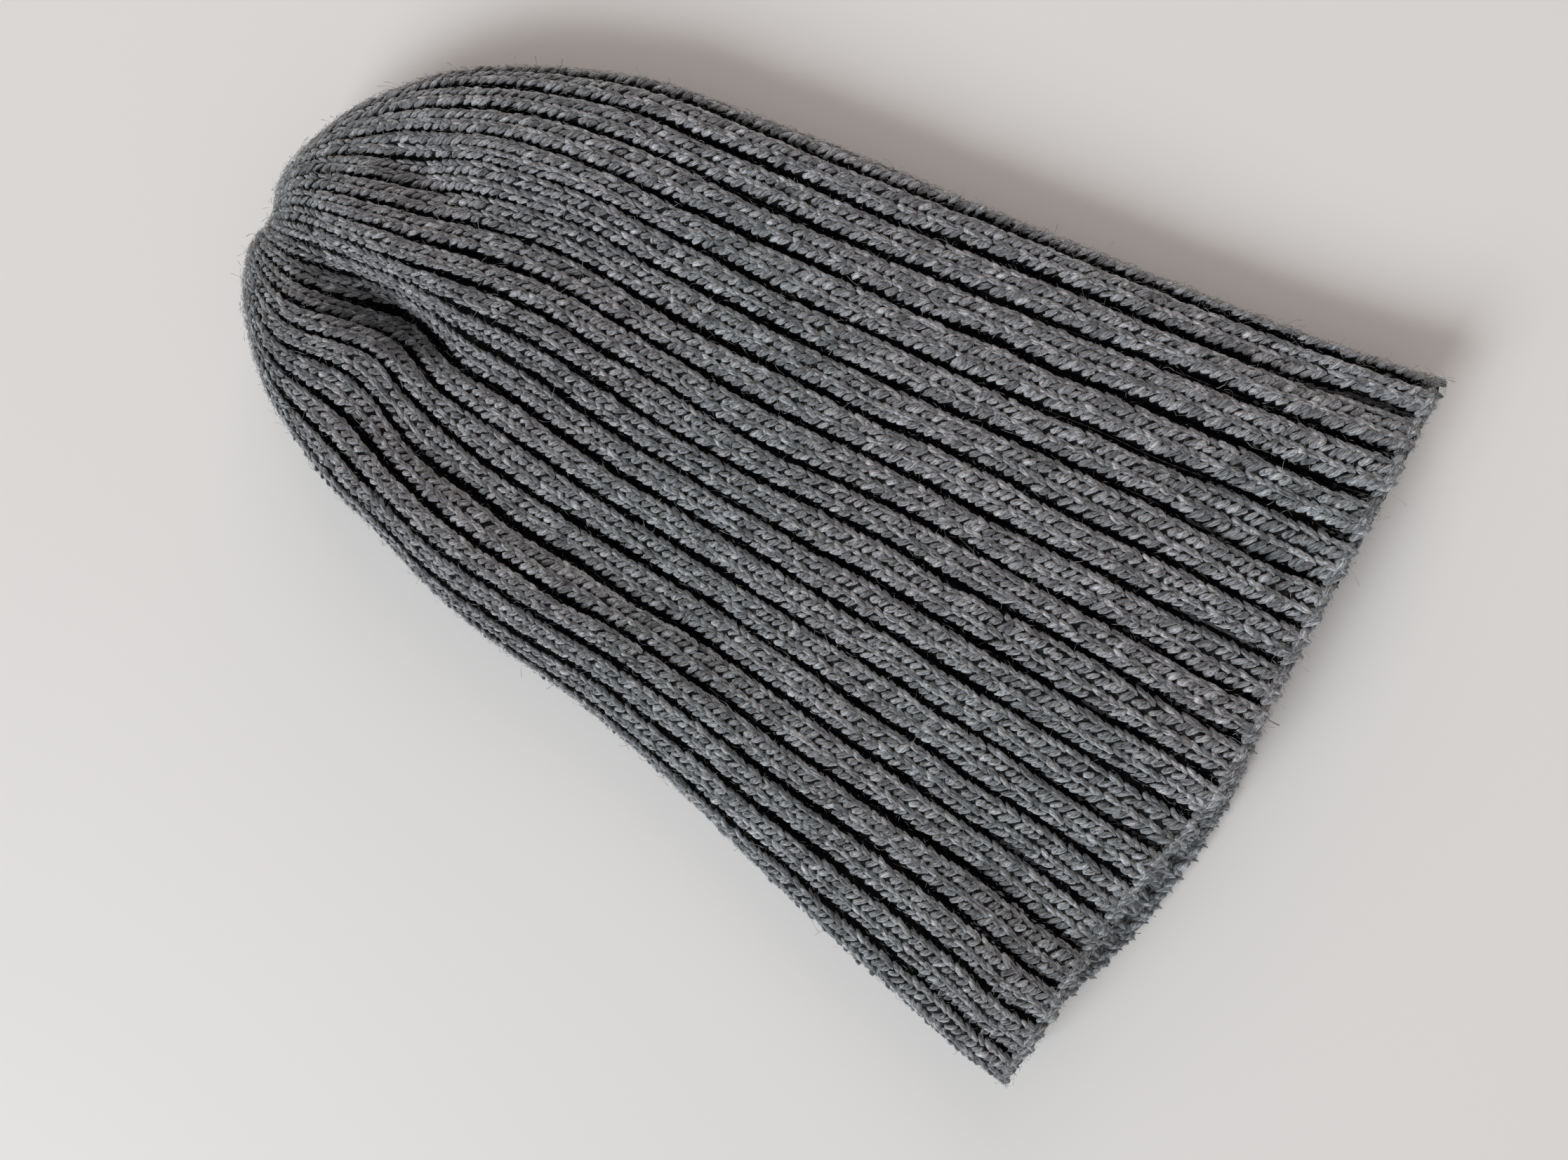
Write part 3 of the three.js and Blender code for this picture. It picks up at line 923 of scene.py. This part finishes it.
def cast_on_edge():
    """The cords of yarn round the opening, from the outer face over the rim to the inner one."""
    sizes = bpy.context.scene.beanie_knit
    outer, inner = outside(), inside()
    strands = Strands(outer, sizes, sizes.seed + EDGE_SEED)
    yarn, count = sizes.yarn_width / MM, RIBS * LOOPS_PER_RIB
    for turn, lean in EDGE_CORDS:
        over = math.sin(math.pi * turn)
        around = (np.arange(count) + strands.stray(0.5, LOOP_STRAY, count)) / LOOPS_PER_RIB
        row = strands.stray(LOOP_ROW, LOOP_ROW_STRAY, count)
        ends = []
        for half in (-0.5, 0.5):
            place = around + half * LOOP_REACH / LOOPS_PER_RIB
            ends.append(outer.place(place, row) * (1 - turn) + inner.place(place, row) * turn)
        hemward = unit(outer.place(around, 0 * row) - outer.place(around, 0 * row + HEMWARD_ROWS))
        off = outer.facing(around, row) * (1 - turn) + inner.facing(around, row) * turn
        off = unit(off + hemward * RIM_FACING * over)
        centre = (ends[0] + ends[1]) / 2 - off * (yarn * CORD_SUNK)
        centre = centre - hemward * (HEM_ROUND * (1 - over) + yarn * CORD_BACK)
        axis = ends[1] - ends[0]
        aside = np.cross(unit(axis), off)
        axis = axis + aside * (lean * np.linalg.norm(axis, axis=1, keepdims=True))
        girth = yarn * CORD_GIRTH * strands.stray(1, CORD_GIRTH_STRAY, count)
        depth = outer.read(outer.sunk, around, row) / outer.groove
        strands.add(centre, axis, off, girth, HALF_LOOP, depth, LOOP_LIFT)
    form = {"sides": 6, "rings": 5, "bend": 0.2, "taper": 0.0}
    strands_piece("cast_on_edge", strands.points(), **form, lumps=sizes.lumps, seed=sizes.seed + EDGE_SEED)


# Loose fibres

# Long and short fibres: how far they lift off the face, how their lengths spread, and the least and the
# most length in millimetres.
HAIR_FORM = (0.09, 0.8, 1.0, 5.0)
FUZZ_FORM = (0.16, 0.5, 0.7, 3.2)
# A long fibre's bend in millimetres, how deep in the fabric it starts, and its radius in shares of its bend.
HAIR_BEND, HAIR_SUNK, HAIR_RADIUS = (0.3, 0.8), 0.3, 0.045
# A short fibre's width and its height off the face, in millimetres.
FUZZ_WIDTH, FUZZ_HIGH = (0.06, 0.15), (-0.25, 0.3)
# How flat fibres lie across the ribs.
FIBRE_ACROSS = 0.8
# Stretches of the hat with fibres: first and last rib, first and last share of the rows, share of fibres.
HAIR_PLACES = (
    (-1.5, 21.5, 0.0, 1.0, 0.60),
    (-1.5, 1.0, 0.0, 0.9, 0.10),
    (19.0, 21.5, 0.0, 0.9, 0.08),
    (-1.5, 21.5, 0.88, 1.0, 0.06),
    (21.5, 38.5, 0.0, 1.0, 0.04),
    (0.0, 40.0, 0.0, 0.02, 0.12),
)


def scattered(number, seed, lifting, lengths, shortest, longest):
    """Random places over the hat for fibres, with the way off the face and each fibre's own reach."""
    sheet, random = outside(), np.random.default_rng(seed)
    for first, last, low, high, part in HAIR_PLACES:
        count = int(number * part)
        around = random.uniform(first, last, count)
        row = random.uniform(low, high, count) * (sheet.rows - 2)
        off = sheet.facing(around, row)
        along = unit(sheet.place(around, row + 1) - sheet.place(around, row - 1))
        across = np.cross(off, along)
        turn = random.uniform(-math.pi, math.pi, count)[:, None]
        lift = random.gamma(2.0, lifting, count)[:, None]
        axis = unit(along * np.cos(turn) + across * np.sin(turn) * FIBRE_ACROSS) + off * lift
        long = np.clip(random.gamma(3.0, lengths, count), shortest, longest)[:, None]
        yield sheet.place(around, row), off, unit(axis) * long, count, random


def hair_points():
    """Bare points that carry one long loose fibre each."""
    sizes = bpy.context.scene.beanie_knit
    seed = sizes.seed + HAIR_SEED
    strands = Strands(outside(), sizes, seed)
    for place, off, axis, count, random in scattered(sizes.hairs, seed, *HAIR_FORM):
        bend = random.uniform(*HAIR_BEND, count)
        strands.add(place - off * HAIR_SUNK, axis, off, 2 * bend, 1.0, 0 * bend, 0.0)
    return strands.points()


def fuzz_points():
    """Bare points that carry one short fibre of the fuzz each."""
    sizes = bpy.context.scene.beanie_knit
    seed = sizes.seed + FUZZ_SEED
    strands = Strands(outside(), sizes, seed)
    for place, off, axis, count, random in scattered(sizes.fuzz, seed, *FUZZ_FORM):
        thick = random.uniform(*FUZZ_WIDTH, count)
        high = random.uniform(*FUZZ_HIGH, count)[:, None]
        strands.add(place + off * high, axis, off, thick, 0.5, 0 * thick, 0.0)
    return strands.points()


# The fabric behind the stitches

# Places to a rib on the outer face and the inner one, and rows to a ring of the inner one.
SHELL_PER_RIB = 8
INNER_PER_RIB = 4
INNER_STEP = 2
# How deep the fabric lies under the strands, on a crest and in a groove, in shares of the yarn.
BED = 0.5
GROOVE_BED = 0.19
# The thinnest that the wall gets under the floor of a deep groove, how far off the inner face the floor is
# first felt for, and how far on from there, all in millimetres.
THINNEST = 0.5
FEEL_FROM = 6.0
FEEL_TO = 9.6
# How far the rim's edge stands out in shares of its rounding, and how deep in a groove it counts as lying,
# which gives it a groove's painted shade.
RIM_ROUND = 0.6
RIM_DEPTH = 0.25


def ring_faces(first, second, count, flip):
    """Squares between two closed rings of vertices that start at these numbers."""
    faces = []
    for i in range(count):
        j = (i + 1) % count
        face = (first + i, first + j, second + j, second + i)
        faces.append(face[::-1] if flip else face)
    return faces


def tube_faces(start, rings, count, flip):
    """The faces between rings of vertices that follow each other from a number on."""
    faces = []
    for ring in range(rings - 1):
        faces += ring_faces(start + ring * count, start + (ring + 1) * count, count, flip)
    return faces


def bed_rings(sheet, row_step, per_rib):
    """Rings of places under the strands of a face, with how deep in a groove each lies."""
    yarn = bpy.context.scene.beanie_knit.yarn_width / MM
    deep = np.clip(sheet.sunk / sheet.groove, 0, 1)
    bed = yarn * (BED + (GROOVE_BED - BED) * deep)
    rings = sheet.surface - sheet.normal * bed[..., None]
    rows, columns = slice(None, None, SUB_ROWS * row_step), slice(None, None, PER_RIB // per_rib)
    return rings[rows, columns], deep[rows, columns]


def pressed_in(outer, faces):
    """How far the inner face is pressed in, so that no groove of the outer one comes through it."""
    tree = BVHTree.FromPolygons(outer.reshape(-1, 3).tolist(), faces)
    inner, _ = bed_rings(inside(), INNER_STEP, PER_RIB)
    outwards = -inside().normal[::SUB_ROWS * INNER_STEP]
    press = np.zeros(inner.shape[:2])
    for i, j in np.ndindex(*press.shape):
        start = inner[i, j] + outwards[i, j] * FEEL_FROM
        found = tree.ray_cast(Vector(start), Vector(-outwards[i, j]), FEEL_TO)[3]
        if found is not None:
            press[i, j] = max(found + THINNEST - FEEL_FROM, 0)
    step = PER_RIB // INNER_PER_RIB
    widest = np.max([np.roll(press, k, axis=1) for k in range(-step, step + 1)], axis=0)
    return (outwards * widest[..., None])[:, ::step]


def rim_faces(edge, outer_count, inner_count):
    """The faces from the outer face's first ring, which has more places, to the ring of the edge."""
    faces = []
    step = outer_count // inner_count
    half = step // 2
    for i in range(inner_count):
        near, far = edge + i, edge + (i + 1) % inner_count
        fan = [(i * step + k) % outer_count for k in range(step + 1)]
        faces += [(near, fan[k], fan[k + 1]) for k in range(half)]
        faces.append((near, fan[half], far))
        faces += [(far, fan[k], fan[k + 1]) for k in range(half, step)]
    return faces


def fabric_shell():
    """The closed wall of the hat that lies under the strands, with its grooves."""
    outer, outer_depth = bed_rings(outside(), 1, SHELL_PER_RIB)
    inner, inner_depth = bed_rings(inside(), INNER_STEP, INNER_PER_RIB)
    (outer_rings, count), (inner_rings, inner_count) = outer.shape[:2], inner.shape[:2]
    faces = tube_faces(0, outer_rings, count, True)
    inner = inner - pressed_in(outer, faces)
    outer[0, :, 1] += HEM_ROUND
    inner[0, :, 1] += HEM_ROUND
    edge = (outer[0, ::count // inner_count] + inner[0]) / 2
    edge[:, 1] -= HEM_ROUND * RIM_ROUND
    poles = np.stack([outer[-1].mean(axis=0), inner[-1].mean(axis=0)])
    places = np.concatenate([outer.reshape(-1, 3), inner.reshape(-1, 3), edge, poles])

    inner_start = outer_rings * count
    edge_start = inner_start + inner_rings * inner_count
    outer_last, inner_last, pole = inner_start - count, edge_start - inner_count, edge_start + inner_count
    faces += tube_faces(inner_start, inner_rings, inner_count, False)
    faces += ring_faces(edge_start, inner_start, inner_count, False)
    faces += rim_faces(edge_start, count, inner_count)
    faces += [(outer_last + (i + 1) % count, outer_last + i, pole) for i in range(count)]
    faces += [(inner_last + i, inner_last + (i + 1) % inner_count, pole + 1) for i in range(inner_count)]

    piece = new_piece("wool_fabric", to_frame(places), faces, ground_material())
    rim_depth = np.full(inner_count + 2, RIM_DEPTH)
    store(piece.data, "depth", np.concatenate([outer_depth.ravel(), inner_depth.ravel(), rim_depth]))
    strand = np.zeros((len(places), 3))
    sides = (
        (0, outer_rings, 1, count, SHELL_PER_RIB, 0.0),
        (inner_start, inner_rings, INNER_STEP, inner_count, INNER_PER_RIB, 1.0),
    )
    for start, rings, row_step, around, per_rib, side in sides:
        part = strand[start:start + rings * around].reshape(rings, around, 3)
        part[..., 0] = np.arange(around) / per_rib
        part[..., 1] = np.arange(rings)[:, None] * row_step
        part[..., 2] = side
    store(piece.data, "strand", strand)
    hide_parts(NODE)
    finish_piece(piece)


# Settings


class BeanieKnitSettings(bpy.types.PropertyGroup):
    """Sizes of the knit."""

    row_height: bpy.props.FloatProperty(
        name="Row height", description="Height of one knit row", default=0.00235, min=0.001, unit="LENGTH"
    )
    groove_depth: bpy.props.FloatProperty(
        name="Groove depth", description="Depth of the grooves between ribs", default=0.0027, unit="LENGTH"
    )
    inside_groove: bpy.props.FloatProperty(
        name="Inside groove", description="Depth of the grooves on the inner face",
        default=0.0014, unit="LENGTH"
    )
    inside_rows: bpy.props.IntProperty(
        name="Inside rows", description="Rows of stitches shown inside the opening", default=16, min=1
    )
    wobble: bpy.props.FloatProperty(
        name="Wobble", description="How far the grooves stray sideways, in shares of a rib", default=0.032
    )
    hairs: bpy.props.IntProperty(
        name="Hairs", description="Number of long loose fibres", default=3200, min=10
    )
    fuzz: bpy.props.IntProperty(
        name="Fuzz", description="Number of short fibres", default=33000, min=10
    )
    lumps: bpy.props.FloatProperty(
        name="Lumps", description="How far a strand's surface strays", default=0.0005, unit="LENGTH"
    )
    yarn_width: bpy.props.FloatProperty(
        name="Yarn width", description="Width of one strand of a stitch", default=0.00162, unit="LENGTH"
    )
    shingle: bpy.props.FloatProperty(
        name="Shingle", description="How much a strand's lower end lies over the next one", default=0.16
    )
    unevenness: bpy.props.FloatProperty(
        name="Unevenness", description="How far stitches stray from even knitting", default=1.0, min=0.0
    )
    seed: bpy.props.IntProperty(name="Seed", description="Seed of the uneven stitches", default=7)


class BeanieColourSettings(bpy.types.PropertyGroup):
    """Colours of the wool."""

    wool_dark: bpy.props.FloatVectorProperty(
        name="Dark fibre", description="Darkest fibre in the yarn",
        subtype="COLOR", default=(0.11, 0.112, 0.119)
    )
    wool_light: bpy.props.FloatVectorProperty(
        name="Light fibre", description="Lightest fibre in the yarn",
        subtype="COLOR", default=(0.59, 0.602, 0.646)
    )
    wool_cool: bpy.props.FloatVectorProperty(
        name="Cool cast", description="Cast of the cooler patches",
        subtype="COLOR", default=(0.96, 1.0, 1.0)
    )
    wool_warm: bpy.props.FloatVectorProperty(
        name="Warm cast", description="Cast of the warmer patches",
        subtype="COLOR", default=(1.0, 0.985, 0.985)
    )
    hair_dark: bpy.props.FloatVectorProperty(
        name="Dark hair", description="Darker loose fibres", subtype="COLOR", default=(0.12, 0.12, 0.12)
    )
    hair_light: bpy.props.FloatVectorProperty(
        name="Light hair", description="Lighter loose fibres", subtype="COLOR", default=(0.36, 0.365, 0.37)
    )


class BeanieStageSettings(bpy.types.PropertyGroup):
    """The floor, the light and the camera."""

    floor_colour: bpy.props.FloatVectorProperty(
        name="Floor", description="Colour of the pale floor", subtype="COLOR", default=(0.79, 0.776, 0.773)
    )
    window_watts: bpy.props.FloatProperty(
        name="Window", description="Strength of the soft light from the side", default=182.0, unit="POWER"
    )
    room_watts: bpy.props.FloatProperty(
        name="Room", description="Strength of the faint light from the other side",
        default=33.0, unit="POWER"
    )
    sky_strength: bpy.props.FloatProperty(
        name="Sky", description="Strength of the light from all round", default=0.34
    )


# Operators


class BEANIE_OT_fabric(bpy.types.Operator):
    """Makes the hat's wall that lies behind the stitches"""

    bl_idname = "beanie.fabric"
    bl_label = "Fabric"

    def execute(self, context):
        fabric_shell()
        return {"FINISHED"}


class BEANIE_OT_stitches(bpy.types.Operator):
    """Knits the outer stitches of both layers"""

    bl_idname = "beanie.stitches"
    bl_label = "Outer stitches"

    def execute(self, context):
        face = outside()
        for number, (name, first, last, sides, rings) in enumerate(STRETCHES, 1):
            knit_stretch(name, face, first, last, face.rows - LAST_GAP, sides, rings, number)
        return {"FINISHED"}


class BEANIE_OT_inside(bpy.types.Operator):
    """Knits the inner stitches that show in the opening"""

    bl_idname = "beanie.inside"
    bl_label = "Inner stitches"

    def execute(self, context):
        rows = context.scene.beanie_knit.inside_rows
        knit_stretch("stitches_inside", inside(), 0, RIBS, rows, 4, 3, INSIDE_SEED, INSIDE_PHASE)
        return {"FINISHED"}


class BEANIE_OT_edge(bpy.types.Operator):
    """Lays the cast-on cords round the opening"""

    bl_idname = "beanie.edge"
    bl_label = "Cast-on edge"

    def execute(self, context):
        cast_on_edge()
        return {"FINISHED"}


class BEANIE_OT_fibres(bpy.types.Operator):
    """Scatters loose fibres over the wool"""

    bl_idname = "beanie.fibres"
    bl_label = "Loose fibres"

    def execute(self, context):
        sizes = context.scene.beanie_knit
        wool = hair_material()
        values = {"Sides": 3, "Steps": 4, "Radius": HAIR_RADIUS, "Seed": sizes.seed, "Material": wool}
        hair_tree().run("loose_fibres", hair_points(), values, (*POINT_VECTORS, "depth"))
        form = {"sides": 3, "rings": 2, "bend": 0.0, "taper": 0.0, "lumps": 0.0}
        strands_piece("short_fibres", fuzz_points(), **form, seed=sizes.seed + FUZZ_SEED, material=wool)
        return {"FINISHED"}


class BEANIE_OT_stage(bpy.types.Operator):
    """Lays the floor and sets the light and the camera"""

    bl_idname = "beanie.stage"
    bl_label = "Stage"

    def execute(self, context):
        make_floor()
        make_light()
        make_camera()
        return {"FINISHED"}


# Stage

# Half the floor's width, and how far it lies below the hat, in metres.
FLOOR_REACH, FLOOR_BELOW = 3.0, 0.0001
# The camera's place in the hat's own millimetres, the ways that the picture's right and down point, and
# its lens for a picture so wide.
CAMERA_PLACE = (40.7, 98.2, 312.4)
CAMERA_RIGHT = (0.45042, -0.87800, -0.16198)
CAMERA_DOWN = (-0.87166, -0.47171, 0.13305)
CAMERA_FOCAL_PIXELS = 1745
IMAGE_WIDTH = 2234
SENSOR = 36.0
# The nearest that the camera sees, in metres.
NEAREST = 0.01
# The lights' places and sizes in metres, and their colours.
WINDOW = {"place": (-3.6, 0.9, 2.4), "size": 2.4, "colour": (0.93, 0.98, 1.0)}
ROOM = {"place": (2.2, 0.9, 0.5), "size": 1.8, "colour": (1.0, 0.86, 0.75)}
SKY_COLOUR = (1.0, 0.94, 0.905, 1.0)


def make_floor():
    """A plain pale floor under the hat."""
    corners = np.array([(x, y, 0.0) for x, y in ((-1, -1), (1, -1), (1, 1), (-1, 1))]) * FLOOR_REACH
    corners[:, 2] = shift()[2] - FLOOR_BELOW
    colour = bpy.context.scene.beanie_stage.floor_colour
    shader = Shader("pale_floor")
    place = shader.place()
    uneven = shader.noise(place, 2.2, detail=1.0).within(0.35, 0.65, 0.985, 1.0)
    tint = shader.dim(colour, uneven)
    material = shader.finish({"Base Color": tint, "Roughness": 0.6, "Specular IOR Level": 0.2})
    floor = new_piece("floor", corners, [(0, 1, 2, 3)], material)


def area_light(name, watts, place, size, colour):
    """A soft light that looks at the hat."""
    lamp = bpy.data.lights.new(name, "AREA")
    lamp.shape = "SQUARE"
    lamp.size, lamp.energy, lamp.color = size, watts, colour
    made = bpy.data.objects.new(name, lamp)
    made.location = place
    made.rotation_euler = (-Vector(place)).to_track_quat("-Z", "Y").to_euler()
    bpy.context.scene.collection.objects.link(made)


def make_light():
    """Soft window light from the hat's left, a fainter one from its right, and a pale sky all round."""
    stage = bpy.context.scene.beanie_stage
    world = bpy.data.worlds.new("pale_room")
    world.use_nodes = True
    sky = world.node_tree.nodes["Background"]
    sky.inputs["Color"].default_value = SKY_COLOUR
    sky.inputs["Strength"].default_value = stage.sky_strength
    bpy.context.scene.world = world
    area_light("window", stage.window_watts, **WINDOW)
    area_light("room", stage.room_watts, **ROOM)


def make_camera():
    """The camera at the photograph's angle."""
    lens = bpy.data.cameras.new("camera")
    lens.sensor_width = SENSOR
    lens.lens = SENSOR * CAMERA_FOCAL_PIXELS / IMAGE_WIDTH
    lens.clip_start = NEAREST
    camera = bpy.data.objects.new("camera", lens)
    right, down = Vector(CAMERA_RIGHT).normalized(), Vector(CAMERA_DOWN)
    up = (-down + right * right.dot(down)).normalized()
    turn = Matrix((right, up, right.cross(up))).transposed()
    camera.matrix_world = Matrix.Translation(Vector(to_frame(CAMERA_PLACE))) @ turn.to_4x4()
    bpy.context.scene.collection.objects.link(camera)
    bpy.context.scene.camera = camera
    bpy.context.scene.view_settings.view_transform = "Standard"


class BEANIE_PT_panel(bpy.types.Panel):
    """Lists the makers of the hat's pieces."""

    bl_label = "Beanie"
    bl_space_type = "VIEW_3D"
    bl_region_type = "UI"
    bl_category = "Beanie"

    def draw(self, context):
        for maker in MAKERS:
            self.layout.operator(maker.bl_idname)


SETTINGS = (
    ("beanie_knit", BeanieKnitSettings),
    ("beanie_colours", BeanieColourSettings),
    ("beanie_stage", BeanieStageSettings),
)
MAKERS = (
    BEANIE_OT_fabric,
    BEANIE_OT_stitches,
    BEANIE_OT_inside,
    BEANIE_OT_edge,
    BEANIE_OT_fibres,
    BEANIE_OT_stage,
)


def register():
    for name, group in SETTINGS:
        bpy.utils.register_class(group)
        setattr(bpy.types.Scene, name, bpy.props.PointerProperty(type=group))
    for kind in (*MAKERS, BEANIE_PT_panel):
        bpy.utils.register_class(kind)


def unregister():
    for kind in (BEANIE_PT_panel, *reversed(MAKERS)):
        bpy.utils.unregister_class(kind)
    for name, group in reversed(SETTINGS):
        delattr(bpy.types.Scene, name)
        bpy.utils.unregister_class(group)


def main():
    """Makes every piece in order."""
    register()
    bpy.ops.beanie.fabric()
    bpy.ops.beanie.stitches()
    bpy.ops.beanie.inside()
    bpy.ops.beanie.edge()
    bpy.ops.beanie.fibres()
    bpy.ops.beanie.stage()


if __name__ == "__main__":
    main()
